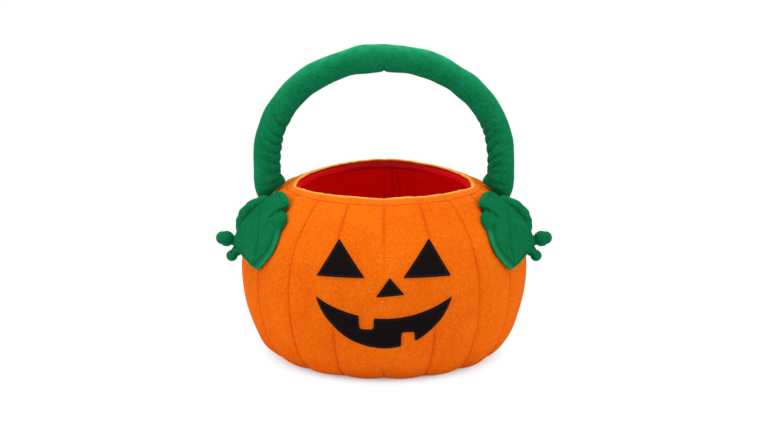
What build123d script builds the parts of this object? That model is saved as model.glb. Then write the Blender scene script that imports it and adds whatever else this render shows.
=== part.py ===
"""Plush pumpkin candy pail with a felt face, a red lining and a swinging stuffed handle.

The pail is a sewn bowl of plush gores over foam. A padded leaf and three vine tendrils are
sewn on at each foot of the handle.
Millimetres, +Z up, the face toward -Y, the origin under the middle of the base.
"""

import os
from math import asin, cos, degrees, radians, sin, sqrt

from build123d import *

# Body surface, over the crowns of the gores
belly_radius = 125.0
belly_height = 75.0
base_radius = 90.0
rim_radius = 77.0
rim_height = 153.0

# Gores
gore_total = 18  # widths of cloth round the pail
face_gores = 4  # of them taken by the one-piece face panel
seam_depth = 1.8  # how far a seam sinks below the crowns beside it

# Layers of the wall and the base
plush_thickness = 3.2
foam_thickness = 2.6
lining_thickness = 1.0
layer_gap = 0.2
foam_panels = 9
foam_slit = 1.0

# Rim
hem_height = 6.5
hem_cap = 1.8
hem_round = 1.5
facing_roll = 1.2  # how far the red facing stands proud of the lining

# Darts in the face panel
dart_depth = 1.6
dart_half_width = 1.4
centre_dart_place = 0.33  # where the middle dart fades out, from belly 0 to rim 1
side_dart_place = 0.57  # the same for the darts above the eyes

# Felt face, as seen straight from the front
felt_thickness = 1.2
felt_gap = 0.3
felt_round = 1.2
eye_inner = 15.6
eye_outer = 54.8
eye_apex = 36.5
eye_base = 96.0
eye_top = 124.6
nose_offset = 5.0
nose_width = 22.9
nose_height = 15.5
nose_base = 81.0
nose_lean = 1.9  # how much higher the right corner sits
mouth_half_width = 55.3
mouth_corner = 78.0
mouth_upper = 62.5  # height of the upper edge at its middle
mouth_lower = 36.6
tooth_width = 11.2
tooth_height = 10.5
tooth_round = 3.0
upper_tooth_x = -14.5
lower_tooth_x = 19.6

# Handle
handle_radius = 11.7
handle_place = 0.79  # place of the foot on the shoulder, from belly 0 to rim 1
handle_rise = 107.0  # from the foot to the crown, along the middle of the tube
handle_straight = 18.0
handle_turn = 55.0  # turn of the tight arc above the straight
handle_cover = 1.5
handle_pinch = 0.9  # chamfer of the seam at the crown
seat_gap = 0.3
foot_inner = 15.5  # reach of the gathered foot toward the rim
foot_outer = 12.3  # and away from it
foot_tip = 2.7  # its radius at the inner end
foot_radius = 16.5
foot_swell = 6.0  # where it is thickest, outward from the middle of the tube
foot_hem = 10.0

# Leaves
leaf_azimuth = 55.0  # from the middle of the face
leaf_place = 0.395  # middle of the leaf on the shoulder, from belly 0 to rim 1
leaf_gap = 0.4
leaf_cover = 1.2
leaf_padding = 2.6
leaf_margin = 4.0
leaf_corner = 5.0
leaf_edge = 2.2  # rounding of the padded front
leaf_outline = [
    (-26.5, 45.0),
    (0.0, 37.5),
    (1.0, 30.0),
    (11.0, 19.0),
    (12.8, -3.0),
    (6.5, -14.5),
    (-4.5, -26.5),
    (-38.0, -16.5),
    (-43.0, -6.0),
    (-39.0, 14.0),
]

# Vines
vine_radius = 4.8
loop_azimuths = (76.0, 83.0, 88.0)
loop_places = (0.68, 0.49, 0.316)
loop_reach = 10.0
knot_radius = 6.6
knot_neck = 3.0
knot_azimuth = 87.0
knot_place = 0.222
knot_reach = 15.8
tail_azimuth = 86.0
tail_places = (0.14, 0.095)
tail_reach = 9.0
tail_radius = 4.9

# Sizes that follow
shoulder_radius = ((belly_radius - rim_radius) ** 2 + (rim_height - belly_height) ** 2) / (
    2 * (belly_radius - rim_radius)
)
shoulder_centre = belly_radius - shoulder_radius
rim_angle = degrees(asin((rim_height - belly_height) / shoulder_radius))
leaf_elevation = leaf_place * rim_angle
gore_angle = 360 / gore_total
face_angle = gore_angle * face_gores
foam_outer = plush_thickness + layer_gap
foam_inner = foam_outer + foam_thickness
lining_outer = foam_inner + layer_gap
lining_inner = lining_outer + lining_thickness
front = -90.0  # azimuth of the face, turning from +X toward +Y


def turn(length):
    """Shoulder angle that a length takes up along the body surface."""
    return degrees(length / shoulder_radius)


cap_angle = rim_angle - turn(hem_cap)
hem_angle = rim_angle - turn(hem_height)


def radial_plane(azimuth):
    """Upright plane through the middle of the pail, its x pointing outward."""
    x, y = cos(radians(azimuth)), sin(radians(azimuth))
    return Plane(origin=(0, 0, 0), x_dir=(x, y, 0), z_dir=(y, -x, 0))


def shoulder_point(inset, angle):
    """Point of the upper curve at an inset, in a radial plane."""
    reach = shoulder_radius - inset
    return (
        shoulder_centre + reach * cos(radians(angle)),
        belly_height + reach * sin(radians(angle)),
    )


def over_shoulder(azimuth, place, reach):
    """Point in space at a reach above the shoulder, the azimuth counted from the face."""
    out, up = shoulder_point(-reach, place * rim_angle)
    return (-out * sin(radians(azimuth)), -out * cos(radians(azimuth)), up)


def wall_face(azimuth, outer, inner, top):
    """Section of a wall layer between two insets, from the base seam to a shoulder angle.

    The lower curve is a quarter of an ellipse and the upper one an arc.
    """
    with BuildSketch(radial_plane(azimuth)) as section:
        with BuildLine():
            for inset in (outer, inner):
                EllipticalCenterArc(
                    (base_radius, belly_height),
                    belly_radius - base_radius - inset,
                    belly_height - inset,
                    start_angle=270,
                    arc_size=90,
                )
                CenterArc((shoulder_centre, belly_height), shoulder_radius - inset, 0, top)
            Line((base_radius, outer), (base_radius, inner))
            Line(shoulder_point(outer, top), shoulder_point(inner, top))
        make_face()
    return section.sketch


def rim_strip(outer, inner, low, high):
    """Strip of the wall between two insets and two shoulder angles, on its own plane."""
    with BuildSketch() as section:
        with BuildLine():
            for inset in (outer, inner):
                CenterArc((shoulder_centre, belly_height), shoulder_radius - inset, low, high - low)
            for angle in (low, high):
                Line(shoulder_point(outer, angle), shoulder_point(inner, angle))
        make_face()
    return section.sketch_local


def plush_panel(stations):
    """Plush skin lofted through (azimuth, depth of the surface) stations."""
    with BuildPart() as panel:
        for azimuth, depth in stations:
            add(wall_face(azimuth, depth, plush_thickness, hem_angle - turn(layer_gap)))
        loft()
    return panel


def dart_tool(azimuth, end):
    """Notch along the shoulder that is deepest at the hem and fades out at its end."""
    shift = dart_depth / sin(radians(hem_angle - end))
    lean = radians(end)
    pivot_out = shoulder_centre + shift * sin(lean)
    pivot_up = belly_height - shift * cos(lean)
    plane = radial_plane(azimuth)
    pivot = plane.from_local_coords((pivot_out, pivot_up, 0))
    outward = plane.x_dir * cos(lean) + Vector(0, 0, 1) * sin(lean)
    blade = Plane(origin=pivot, x_dir=outward, z_dir=plane.z_dir.cross(outward))
    tip = shoulder_radius
    with BuildPart() as notch:
        with BuildSketch(blade):
            with BuildLine():
                Polyline(
                    (tip, 0),
                    (tip + 2 * dart_depth, 2 * dart_half_width),
                    (tip + 2 * dart_depth, -2 * dart_half_width),
                    close=True,
                )
            make_face()
        revolve(axis=Axis(pivot, plane.z_dir), revolution_arc=hem_angle + turn(hem_height) - end)
    return notch.part


def felt_patch(outline):
    """Felt shape cut to an outline seen from the front and laid over the face panel."""
    with BuildPart() as patch:
        add(outline)
        extrude(amount=belly_radius, dir=(0, 1, 0))
        layer = wall_face(front - face_angle / 2, -felt_gap - felt_thickness, -felt_gap, hem_angle)
        revolve(layer, axis=Axis.Z, revolution_arc=face_angle, mode=Mode.INTERSECT)
    return patch


def leaf_slab(inset, low, high):
    """Left leaf layer between two heights over the shoulder, bent to follow it."""
    origin = over_shoulder(leaf_azimuth, leaf_place, leaf_gap)
    lean, swing = radians(leaf_elevation), radians(leaf_azimuth)
    normal = (-cos(lean) * sin(swing), -cos(lean) * cos(swing), sin(lean))
    plane = Plane(origin=origin, x_dir=(cos(swing), -sin(swing), 0), z_dir=normal)
    bend = shoulder_radius + leaf_gap
    with BuildPart() as slab:
        with BuildSketch(plane):
            with BuildLine():
                Polyline(*leaf_outline, close=True)
            make_face()
            fillet(vertices(), leaf_corner)
            if inset:
                offset(amount=-inset, mode=Mode.REPLACE)
        extrude(amount=bend / 2, both=True)
        with Locations(plane * Location((0, 0, -bend), (0, 90, 0))):
            Cylinder(bend + high, 2 * bend, mode=Mode.INTERSECT)
            Cylinder(bend + low, 2 * bend, mode=Mode.SUBTRACT)
    return slab.part


def save(piece, label):
    """Name a piece and write it to its own file."""
    piece.label = label
    export_step(piece, "parts/" + label + ".step")


os.makedirs("parts", exist_ok=True)
face_plane = Plane.XZ.offset(belly_radius + felt_gap + felt_thickness)

# Side and back gores, numbered from the face panel round to the centre back
for number in range(1, (gore_total - face_gores) // 2 + 1):
    start = front + face_angle / 2 + (number - 1) * gore_angle
    right_gore = plush_panel(
        [(start, seam_depth), (start + gore_angle / 2, 0), (start + gore_angle, seam_depth)]
    )
    save(right_gore.part, f"gore_right_{number}")
    save(mirror(right_gore.part, about=Plane.YZ, mode=Mode.PRIVATE), f"gore_left_{number}")

# Face panel with its darts
half_face = face_angle / 2
crown = half_face - gore_angle / 2
shoulder_seam = half_face - gore_angle / 4
face_stations = [
    (-half_face, seam_depth),
    (-shoulder_seam, seam_depth / 4),
    (-crown, 0),
    (-crown / 3, 0),
    (crown / 3, 0),
    (crown, 0),
    (shoulder_seam, seam_depth / 4),
    (half_face, seam_depth),
]
with BuildPart() as face_panel:
    add(plush_panel([(front + azimuth, depth) for azimuth, depth in face_stations]).part)
    add(dart_tool(front, centre_dart_place * rim_angle), mode=Mode.SUBTRACT)
    for side in (-1, 1):
        side_dart = dart_tool(front + side * gore_angle, side_dart_place * rim_angle)
        add(side_dart, mode=Mode.SUBTRACT)
save(face_panel.part, "face_panel")

# Foam panels between the plush and the lining
with BuildPart() as wall_foam:
    foam_turn = 360 / foam_panels - degrees(foam_slit / base_radius)
    for index in range(foam_panels):
        start = front - foam_turn / 2 + index * 360 / foam_panels
        foam_face = wall_face(start, foam_outer, foam_inner, cap_angle - turn(layer_gap))
        revolve(foam_face, axis=Axis.Z, revolution_arc=foam_turn)
save(wall_foam.part, "wall_foam")

# Lining panels
lining_names = ["lining_front_left", "lining_front_right", "lining_back_right", "lining_back_left"]
for index, name in enumerate(lining_names):
    start = front - 90 + 90 * index
    with BuildPart() as lining:
        cloth = wall_face(start, lining_outer, lining_inner, hem_angle - turn(layer_gap))
        revolve(cloth, axis=Axis.Z, revolution_arc=90)
    save(lining.part, name)

# Rim: the plush hem folded over the edge and the red facing inside it
with BuildPart() as rim_hem:
    with BuildSketch(radial_plane(0)):
        add(rim_strip(0, plush_thickness, hem_angle, rim_angle))
        add(rim_strip(0, lining_inner, cap_angle, rim_angle))
        fillet(vertices().sort_by(Axis.Y)[-2:], hem_round / 2)
    revolve(axis=Axis.Z)
save(rim_hem.part, "rim_hem")

with BuildPart() as lining_facing:
    with BuildSketch(radial_plane(0)):
        top = cap_angle - turn(layer_gap)
        add(rim_strip(lining_outer, lining_inner + facing_roll, hem_angle, top))
    revolve(axis=Axis.Z)
save(lining_facing.part, "lining_facing")

# Base: plush disc, board and lining disc
disc_radius = base_radius - layer_gap
base_layers = {
    "base_panel": (0, plush_thickness),
    "base_board": (foam_outer, foam_inner),
    "lining_base": (lining_outer, lining_inner),
}
for name, (low, high) in base_layers.items():
    with BuildPart(Plane.XY.offset(low)) as disc:
        Cylinder(disc_radius, high - low, align=(Align.CENTER, Align.CENTER, Align.MIN))
    save(disc.part, name)

# Felt eyes
with BuildSketch(face_plane) as eye_outline:
    with BuildLine():
        Polyline((eye_inner, eye_base), (eye_outer, eye_base), (eye_apex, eye_top), close=True)
    make_face()
    fillet(vertices(), felt_round)
eye_right = felt_patch(eye_outline.sketch)
save(eye_right.part, "eye_right")
save(mirror(eye_right.part, about=Plane.YZ, mode=Mode.PRIVATE), "eye_left")

# Felt nose
with BuildSketch(face_plane) as nose_outline:
    with BuildLine():
        Polyline(
            (nose_offset - nose_width / 2, nose_base),
            (nose_offset + nose_width / 2, nose_base + nose_lean),
            (nose_offset, nose_base + nose_height),
            close=True,
        )
    make_face()
    fillet(vertices(), felt_round)
nose = felt_patch(nose_outline.sketch)
save(nose.part, "nose")

# Felt mouth, a crescent with two teeth left out of it
with BuildSketch(face_plane) as mouth_outline:
    corner_left = (-mouth_half_width, mouth_corner)
    corner_right = (mouth_half_width, mouth_corner)
    with BuildLine():
        ThreePointArc(corner_left, (0, mouth_upper), corner_right)
        ThreePointArc(corner_left, (0, mouth_lower), corner_right)
    make_face()
    upper_drop = (mouth_corner - mouth_upper) * (upper_tooth_x / mouth_half_width) ** 2
    lower_drop = (mouth_corner - mouth_lower) * (lower_tooth_x / mouth_half_width) ** 2
    with Locations((upper_tooth_x, mouth_upper + upper_drop)):
        RectangleRounded(tooth_width, 2 * tooth_height, tooth_round, mode=Mode.SUBTRACT)
    with Locations((lower_tooth_x, mouth_lower + lower_drop / 2)):
        RectangleRounded(tooth_width, 2 * tooth_height, tooth_round, mode=Mode.SUBTRACT)
mouth = felt_patch(mouth_outline.sketch)
save(mouth.part, "mouth")

# Handle: a straight, a tight arc and a crown arc on each side
foot_out, foot_up = shoulder_point(-seat_gap - handle_radius, handle_place * rim_angle)
bend_sin, bend_cos = sin(radians(handle_turn)), cos(radians(handle_turn))
arch_rise = handle_rise - handle_straight
arch_shape = (1 - bend_cos) * (1 - bend_sin) - bend_cos * bend_sin
tight_radius = (foot_out * (1 - bend_sin) - arch_rise * bend_cos) / arch_shape
crown_radius = (foot_out - tight_radius * (1 - bend_cos)) / bend_cos


def handle_half(radius, side):
    """Half of the handle as a solid tube with a ball at its foot."""
    with BuildPart() as half:
        with BuildLine(Plane.XZ) as path:
            foot = (side * foot_out, foot_up)
            straight = Line(foot, (side * foot_out, foot_up + handle_straight))
            tight = JernArc(straight @ 1, straight % 1, tight_radius, side * handle_turn)
            JernArc(tight @ 1, tight % 1, crown_radius, side * (90 - handle_turn))
        with BuildSketch(Plane(origin=(side * foot_out, 0, foot_up))):
            Circle(radius)
        sweep(path=path.wire())
        with Locations((side * foot_out, 0, foot_up)):
            Sphere(radius)
    return half.part


def gathered_foot(side):
    """Gathered cloth at the foot, round about the line that the handle swings on."""
    profile = [
        (-foot_inner, foot_tip),
        (foot_swell, foot_radius),
        (foot_outer, foot_hem),
        (foot_outer, 0),
        (-foot_inner, 0),
    ]
    with BuildPart() as foot:
        with BuildSketch(Plane.XZ):
            with BuildLine():
                spots = [(side * (foot_out + out), foot_up - drop) for out, drop in profile]
                Polyline(*spots, close=True)
            make_face()
            fillet(vertices().sort_by(Axis.Y)[:2], handle_radius / 3)
        revolve(axis=Axis((0, 0, foot_up), (1, 0, 0)))
    return foot.part


for name, side in (("handle_cover_left", -1), ("handle_cover_right", 1)):
    with BuildPart() as cover:
        add(handle_half(handle_radius, side))
        crown_face = min(faces(), key=lambda face: abs(face.center().X))
        chamfer(crown_face.edges(), handle_pinch)
        add(gathered_foot(side))
        add(handle_half(handle_radius - handle_cover, side), mode=Mode.SUBTRACT)
    save(cover.part, name)

with BuildPart() as handle_stuffing:
    for side in (-1, 1):
        add(handle_half(handle_radius - handle_cover - layer_gap, side))
save(handle_stuffing.part, "handle_stuffing")

# Leaves: a back ply, and a front ply that holds the batting
leaf_total = 2 * leaf_cover + leaf_padding + 2 * layer_gap
with BuildPart() as leaf_back:
    add(leaf_slab(0, 0, leaf_cover))
with BuildPart() as leaf_front:
    add(leaf_slab(0, leaf_cover + layer_gap, leaf_total))
    fillet(faces().sort_by(SortBy.AREA)[-1].edges(), leaf_edge)
    pocket = leaf_slab(leaf_margin - layer_gap, 0, leaf_total - leaf_cover)
    add(pocket, mode=Mode.SUBTRACT)
with BuildPart() as leaf_batting:
    fill_low = leaf_cover + layer_gap
    add(leaf_slab(leaf_margin, fill_low, fill_low + leaf_padding))
for name, leaf in (("back", leaf_back), ("front", leaf_front), ("batting", leaf_batting)):
    save(leaf.part, "leaf_left_" + name)
    save(mirror(leaf.part, about=Plane.YZ, mode=Mode.PRIVATE), "leaf_right_" + name)

# Vine loop, sewn down at both ends
root = vine_radius + seat_gap
loop_reaches = (root, loop_reach, root)
loop_points = [over_shoulder(*spot) for spot in zip(loop_azimuths, loop_places, loop_reaches)]
with BuildPart() as vine_loop:
    with BuildLine() as loop_path:
        ThreePointArc(*loop_points)
    with BuildSketch(Plane(loop_path.line @ 0, z_dir=loop_path.line % 0)):
        Circle(vine_radius)
    sweep(path=loop_path.wire())
    with Locations(loop_points[0], loop_points[2]):
        Sphere(vine_radius)


def vine_stub(azimuth, places, reaches, neck, ball):
    """Round-ended stub between two spots over the shoulder, which swells to a ball."""
    start = Vector(over_shoulder(azimuth, places[0], reaches[0]))
    along = Vector(over_shoulder(azimuth, places[1], reaches[1])) - start
    plane = Plane(origin=start, x_dir=along, z_dir=along.cross(Vector(0, 0, 1)))
    join = along.length - sqrt(ball**2 - neck**2)
    with BuildPart() as stub:
        with BuildSketch(plane):
            with BuildLine():
                Line((along.length + ball, 0), (-neck, 0))
                CenterArc((0, 0), neck, 180, -90)
                Line((0, neck), (join, neck))
                ThreePointArc((join, neck), (along.length, ball), (along.length + ball, 0))
            make_face()
        revolve(axis=Axis(start, along))
    return stub


# Vine knot, a ball on a short neck
knot_places = (knot_place, knot_place)
vine_knot = vine_stub(
    knot_azimuth, knot_places, (knot_neck + seat_gap, knot_reach), knot_neck, knot_radius
)

# Vine tail, a blunt end that hangs below the leaf
vine_tail = vine_stub(
    tail_azimuth, tail_places, (root, tail_reach), vine_radius, tail_radius
)

for name, vine in (("loop", vine_loop), ("knot", vine_knot), ("tail", vine_tail)):
    save(vine.part, "vine_left_" + name)
    save(mirror(vine.part, about=Plane.YZ, mode=Mode.PRIVATE), "vine_right_" + name)
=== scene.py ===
"""Plush pumpkin candy pail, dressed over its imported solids.

Every soft solid is replaced by a sewn piece: puffed gores with sunk seams, a folded hem, a red
lining, felt face patches, a stuffed handle, padded leaves and vine tendrils. Metres, +Z up, the
face toward -Y.
"""

from functools import partial
from math import asin, atan, cos, pi, radians, sin

import bpy
import numpy as np
from bpy.props import FloatProperty, FloatVectorProperty, PointerProperty
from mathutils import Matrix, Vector


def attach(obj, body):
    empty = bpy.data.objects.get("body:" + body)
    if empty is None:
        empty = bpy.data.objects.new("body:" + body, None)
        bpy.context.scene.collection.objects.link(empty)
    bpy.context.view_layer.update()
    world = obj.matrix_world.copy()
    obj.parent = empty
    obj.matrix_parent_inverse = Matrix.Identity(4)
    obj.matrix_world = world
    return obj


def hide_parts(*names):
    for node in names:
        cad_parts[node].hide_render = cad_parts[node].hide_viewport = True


bl_info = {
    "name": "Plush pumpkin pail",
    "version": (1, 0, 0),
    "blender": (4, 5, 0),
    "location": "3D View > Sidebar > Pail",
    "description": "Builds the sewn pieces of a plush pumpkin candy pail on its solids",
    "category": "Object",
}

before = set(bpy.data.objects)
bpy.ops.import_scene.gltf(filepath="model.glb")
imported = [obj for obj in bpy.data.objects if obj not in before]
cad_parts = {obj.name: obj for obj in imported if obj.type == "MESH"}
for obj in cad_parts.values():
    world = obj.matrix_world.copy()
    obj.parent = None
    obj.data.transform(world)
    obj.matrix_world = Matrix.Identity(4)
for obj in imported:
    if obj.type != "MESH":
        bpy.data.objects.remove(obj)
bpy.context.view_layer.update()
MM = 0.001
SIDES = ((-1, "left"), (1, "right"))
FRONT = -pi / 2
GORES = 18
FACE_GORES = 4
SIDE_GORES = (GORES - FACE_GORES) // 2
GORE_ANGLE = 2 * pi / GORES
HALF_GORE = GORE_ANGLE / 2
FACE_HALF = FACE_GORES * HALF_GORE
HANDLE_GORE = 3
# Places on the shoulder, from the belly 0 to the rim 1
HANDLE_PLACE = 0.79
LEAF_PLACE = 0.395
LOOP_PLACES = (0.68, 0.49, 0.316)
KNOT_PLACE = 0.222
TAIL_PLACES = (0.14, 0.095)
# Ways to close a grid: its columns run round, and a face closes each end
TUBE = (False, True)
ROUND_ENDS = (True, True)
CREASE_ANGLE = radians(70)


def linear(code):
    """Linear RGB of an sRGB hex colour."""
    srgb = np.array([int(code[i : i + 2], 16) for i in (1, 3, 5)]) / 255
    light = np.where(srgb <= 0.04045, srgb / 12.92, ((srgb + 0.055) / 1.055) ** 2.4)
    return tuple(float(value) for value in light)


def length_property(name, description, millimetres):
    """Length property with its default given in millimetres."""
    return FloatProperty(
        name=name, description=description, default=millimetres * MM, unit="LENGTH", precision=4
    )


def colour_property(name, description, code):
    """Colour property with its default given as sRGB hex."""
    return FloatVectorProperty(
        name=name, description=description, default=linear(code), subtype="COLOR", min=0, max=1
    )


class PailSizes(bpy.types.PropertyGroup):
    """Sizes of the pail that its solids share."""

    belly_radius: length_property("Belly radius", "Widest radius over the gore crowns", 125)
    belly_height: length_property("Belly height", "Height of the widest ring", 75)
    base_radius: length_property("Base radius", "Radius of the seam round the base", 90)
    rim_radius: length_property("Rim radius", "Radius of the lip", 77)
    rim_height: length_property("Rim height", "Height of the lip", 153)
    plush: length_property("Plush thickness", "Depth of the plush skin at a crown", 3.2)
    lining_inset: length_property("Lining inset", "Inner face of the lining below the skin", 7.2)
    seam_depth: length_property("Seam depth", "How far a seam sinks below its crowns", 2.0)
    hem_height: length_property("Hem height", "Height of the folded hem", 9.0)
    felt: length_property("Felt thickness", "Thickness of the face patches", 1.3)
    handle_radius: length_property("Handle radius", "Radius of the stuffed handle", 11.7)
    handle_rise: length_property("Handle rise", "From the feet to the crown of the arch", 107)
    handle_straight: length_property("Handle straight", "Straight stretch above each foot", 18)
    vine_radius: length_property("Vine radius", "Radius of the stuffed tendrils", 4.8)
    leaf_puff: length_property("Leaf puff", "Height of the leaf's padding", 4.6)


class PailColours(bpy.types.PropertyGroup):
    """Colours of the cloths."""

    orange: colour_property("Orange plush", "Pile of the pumpkin skin", "#F06D0C")
    red: colour_property("Red lining", "Brushed lining cloth", "#FF0E14")
    green: colour_property("Green plush", "Pile of the handle", "#0D764A")
    leaf: colour_property("Leaf plush", "Pile of the leaves", "#0A6C40")
    black: colour_property("Black felt", "Felt of the face", "#161011")
    foam: colour_property("Foam", "Foam sheet in the wall", "#E8E0C8")
    fill: colour_property("Fill", "Loose polyester fill", "#ECECE6")
    board: colour_property("Board", "Base board", "#9A8260")


# Curves that the pieces share


def bell(value, width):
    """Bell curve: 1 at zero, and nearly nothing two widths away."""
    return np.exp(-((value / width) ** 2))


def fade(distance, reach):
    """Exponential fall: 1 at a line, and a third of it at the reach."""
    return np.exp(-distance / reach)


def ramp(value, span):
    """Straight rise from 0 to 1 while the value goes from 0 to the span."""
    return np.clip(value / span, 0, 1)


def flattened_sine(turn, power):
    """Sine whose top and bottom are flatter, the lower the power is."""
    return np.sign(np.sin(turn)) * np.abs(np.sin(turn)) ** power


def full_turn(count):
    """Angles round a full turn, without the last one, which would meet the first."""
    return np.linspace(0, 2 * pi, count, endpoint=False)


def soft_waves(u, v, size, seed):
    """Smooth bumps of about the given size: a sum of eight sine waves in seeded directions."""
    rng = np.random.default_rng(seed)
    turn = rng.uniform(0, 2 * pi, 8)
    rate = 2 * pi / size * rng.uniform(0.6, 1.5, 8)
    phase = rng.uniform(0, 2 * pi, 8)
    u, v = np.broadcast_arrays(u, v)
    waves = np.sin(rate * (u[..., None] * np.cos(turn) + v[..., None] * np.sin(turn)) + phase)
    return waves.sum(-1) / 4


def stacked(*values):
    """Arrays of coordinates, spread to one shape, as points."""
    return np.stack(np.broadcast_arrays(*values), -1)


def there_and_back(front, back):
    """Columns of a front face, followed by those of its back face in reverse."""
    return np.concatenate([front, back[:, ::-1]], 1)


# Meshes


def cap_faces(ring, split):
    """Corners and sizes of the faces that close a ring of points.

    One face closes a round ring. A thin curved ring is given the split where its far side begins,
    and the two sides are joined by a strip.
    """
    if split is True:
        return ring, [len(ring)]
    near, far = ring[:split], ring[split:][::-1]
    match = far[np.round(np.linspace(0, len(far) - 1, split)).astype(int)]
    quads = np.stack([near[:-1], near[1:], match[1:], match[:-1]], -1)
    whole = match[1:] != match[:-1]
    corners = np.concatenate([quads[whole].ravel(), quads[~whole][:, :3].ravel()])
    return corners, np.repeat([4, 3], [whole.sum(), (~whole).sum()])


def grid_mesh(name, points, uv=None, wrap=(False, False), caps=(), flip=False, marks=None):
    """Quads over an array of points (rows, columns, 3), wrapped or capped as asked.

    uv holds surface metres at each point, and marks gives named values from 0 to 1 that a cloth
    reads: the painted shade of seams and creases, and the mark of painted light and stitches. A
    cap is True for a round end or a split for a thin one.
    """
    rows, columns = points.shape[:2]
    index = np.arange(rows * columns).reshape(rows, columns)
    if wrap[0]:
        index = np.vstack([index, index[:1]])
    if wrap[1]:
        index = np.hstack([index, index[:, :1]])
    quads = np.stack([index[:-1, :-1], index[:-1, 1:], index[1:, 1:], index[1:, :-1]], -1)
    quads = quads.reshape(-1, 4)
    corners = [quads.ravel()]
    sizes = [np.full(len(quads), 4)]
    for split, row, order in zip(caps, (0, -1), (1, -1)):
        ends, counts = cap_faces(index[row, :columns], split)
        corners.append(ends[::order])
        sizes.append(counts[::order])
    corners = np.concatenate(corners)
    sizes = np.concatenate(sizes)
    if flip:
        corners, sizes = corners[::-1], sizes[::-1]
    mesh = bpy.data.meshes.new(name)
    mesh.vertices.add(rows * columns)
    mesh.vertices.foreach_set("co", points.astype(np.float32).ravel())
    mesh.loops.add(len(corners))
    mesh.loops.foreach_set("vertex_index", corners.astype(np.int32))
    mesh.polygons.add(len(sizes))
    starts = np.concatenate([[0], np.cumsum(sizes)[:-1]])
    mesh.polygons.foreach_set("loop_start", starts.astype(np.int32))
    mesh.update(calc_edges=True)
    if uv is not None:
        layer = mesh.uv_layers.new(name="cloth")
        flat = uv.reshape(-1, 2)[corners]
        layer.data.foreach_set("uv", flat.astype(np.float32).ravel())
    for key, value in (marks or {}).items():
        attribute = mesh.attributes.new(key, "FLOAT", "POINT")
        attribute.data.foreach_set("value", value.astype(np.float32).ravel())
    mesh.validate()
    mesh.shade_smooth()
    mesh.set_sharp_from_angle(angle=CREASE_ANGLE)
    return mesh


def disc_mesh(name, x, y, high, low):
    """Closed disc from its upper and lower heights: rings outward on top and inward below."""
    points = there_and_back(stacked(x, y, high), stacked(x, y, low)).transpose(1, 0, 2)
    return grid_mesh(name, points, points[..., :2], TUBE, ROUND_ENDS)


def disc_rings(edge, count):
    """Share of the edge's radius and the flat places x and y of the rings of a disc."""
    turn = full_turn(120)[:, None]
    share = np.linspace(0.01, 1, count)[None, :]
    reach = share * edge
    return share, reach * np.cos(turn), reach * np.sin(turn)


def add_piece(name, mesh, slot, body, node):
    """Puts a mesh into the scene as the piece that stands for a solid, and hides the solid."""
    piece = bpy.data.objects.new(name, mesh)
    bpy.context.scene.collection.objects.link(piece)
    mesh.materials.append(cloth(slot))
    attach(piece, body)
    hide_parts(node)


def add_pair(kind, part, shape, turned, slot, body):
    """Left and right padded pieces from the left one's shape. turned is the side to flip."""
    points, uv, marks = shape
    for side, name in SIDES:
        label = f"{kind}_{name}_{part}"
        placed = points * (-side, 1, 1)
        mesh = grid_mesh(label, placed, uv, TUBE, ROUND_ENDS, side == turned, marks)
        add_piece(f"plush_{label}", mesh, slot, body.format(name), label)


# Body surface

LIP_DIP = 4.7 * MM
LIP_BACK_RISE = 1.3 * MM
LIP_REACH = 18 * MM
HEM_LAP = 1.2 * MM
# A panel's top is pressed flat over these lengths, to go under the hem
PRESSED = 7 * MM
CALMED = 14 * MM
SEAM_CREASE = 1.3 * MM
SEAM_DIP = 8 * MM
PUCKER = 0.22 * MM
PUCKER_REACH = 5 * MM
# The lining and the foam end this far below the lip
FACING_LAP = 3.6 * MM
INNER_COLUMNS = 14
# Painted shade along seams and darts: its strength, and the widths of its lines at a seam and a
# dart
SEAM_SHADE = 0.6
SEAM_LINE = 0.7 * MM
DART_LINE = 0.9 * MM
DART_FADE = 14 * MM
FOOT_DENT = 0.35 * MM
FOOT_DENT_REACH = 22 * MM
# Darts of the face panel: place, height and length of the upper end, height of the lower end
FACE_DARTS = (
    (-1, 120 * MM, 9 * MM, 60 * MM),
    (0, 98 * MM, 40 * MM, 17 * MM),
    (1, 120 * MM, 9 * MM, 60 * MM),
)


def shoulder_arc(sizes):
    """Radius of the shoulder arc, the distance of its centre from the axis, and its angle."""
    rise = sizes.rim_height - sizes.belly_height
    step = sizes.belly_radius - sizes.rim_radius
    arc = (step**2 + rise**2) / (2 * step)
    return arc, sizes.belly_radius - arc, asin(rise / arc)


def body_curve(sizes, count=400):
    """Table of the wall's section from the base seam to the lip.

    A quarter ellipse rises from the base to the belly and an arc goes on to the lip. Rows are
    arc length, radius, height and the two parts of the outward normal.
    """
    wide = sizes.belly_radius - sizes.base_radius
    tall = sizes.belly_height
    turn = np.linspace(-pi / 2, 0, count)
    place = [sizes.base_radius + wide * np.cos(turn), tall + tall * np.sin(turn)]
    lower = np.stack(place + [np.cos(turn) / wide, np.sin(turn) / tall])
    arc, centre, rim = shoulder_arc(sizes)
    turn = np.linspace(0, rim, count)[1:]
    place = [centre + arc * np.cos(turn), tall + arc * np.sin(turn)]
    upper = np.stack(place + [np.cos(turn), np.sin(turn)])
    table = np.hstack([lower, upper])
    table[2:] /= np.hypot(table[2], table[3])
    steps = np.hypot(np.diff(table[0]), np.diff(table[1]))
    return np.vstack([np.concatenate([[0], np.cumsum(steps)]), table])


def wall(context):
    """Sizes of the pail and the section of its wall."""
    sizes = context.scene.pail_sizes
    return sizes, body_curve(sizes)


def lip_dip(angle):
    """Fall of the lip: deepest at the sides, slow toward the back and quick toward the front."""
    turn = angle - FRONT
    side = np.abs(np.sin(turn))
    back = LIP_DIP * side**2 - LIP_BACK_RISE * np.cos(turn) ** 8
    return np.where(np.cos(turn) < 0, back, LIP_DIP * side**6)


def lip_sway(angle):
    """Soft waves along the edge of the lip: two sines round it."""
    return 0.45 * MM * np.sin(9 * angle + 0.6) + 0.3 * MM * np.sin(14 * angle + 2.1)


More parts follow.
